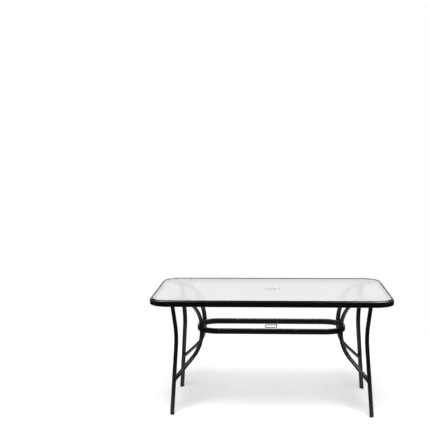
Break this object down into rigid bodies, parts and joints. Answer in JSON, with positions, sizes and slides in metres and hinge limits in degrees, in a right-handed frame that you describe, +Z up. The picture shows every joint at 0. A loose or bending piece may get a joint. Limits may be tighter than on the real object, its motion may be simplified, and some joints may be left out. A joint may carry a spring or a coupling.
{
  "type": "umbrella table",
  "caption": "Rectangular patio table with a pebbled glass pane in a rounded metal rim, a clear-ringed umbrella hole, curved tube legs and a stretcher loop with a pole holder.",
  "frame": {"origin": "on the floor, under the middle of the table top, on the umbrella hole's axis", "axes": "+X along the table's length to its right end, +Y to its rear side, where the umbrella holder's rod is welded, +Z up"},
  "size_m": [1.4, 0.8, 0.7],
  "materials": {
    "frame_paint": "satin black powder coat",
    "pebbled_glass": "tempered clear glass, pebbled underneath",
    "clear_vinyl": "soft clear vinyl",
    "clear_plastic": "clear moulded plastic",
    "foot_plastic": "fine moulded grain",
    "black_fasteners": "black zinc"
  },
  "bodies": {
    "table": {"top_rim": "frame_paint", "glass_top": "pebbled_glass", "glass_pads": "clear_vinyl", "leg_front_left": "frame_paint", "bow_front_left": "frame_paint", "foot_cap_front_left": "foot_plastic", "corner_plate_front_left": "frame_paint", "leg_front_right": "frame_paint", "bow_front_right": "frame_paint", "foot_cap_front_right": "foot_plastic", "corner_plate_front_right": "frame_paint", "leg_rear_right": "frame_paint", "bow_rear_right": "frame_paint", "foot_cap_rear_right": "foot_plastic", "corner_plate_rear_right": "frame_paint", "leg_rear_left": "frame_paint", "bow_rear_left": "frame_paint", "foot_cap_rear_left": "foot_plastic", "corner_plate_rear_left": "frame_paint", "stretcher_loop": "frame_paint", "umbrella_holder": "frame_paint", "umbrella_ring": "clear_plastic", "corner_screws": "black_fasteners", "corner_washers": "black_fasteners", "corner_nuts": "black_fasteners", "stretcher_bolts": "black_fasteners", "stretcher_washers": "black_fasteners", "stretcher_nuts": "black_fasteners"},
    "cap": {"hole_cap": "clear_plastic"}
  },
  "joints": [
    {"name": "cap_lift", "type": "slide", "parent": "table", "child": "cap", "axis": [0, 0, 1], "range_m": [0, 0.12]}
  ]
}
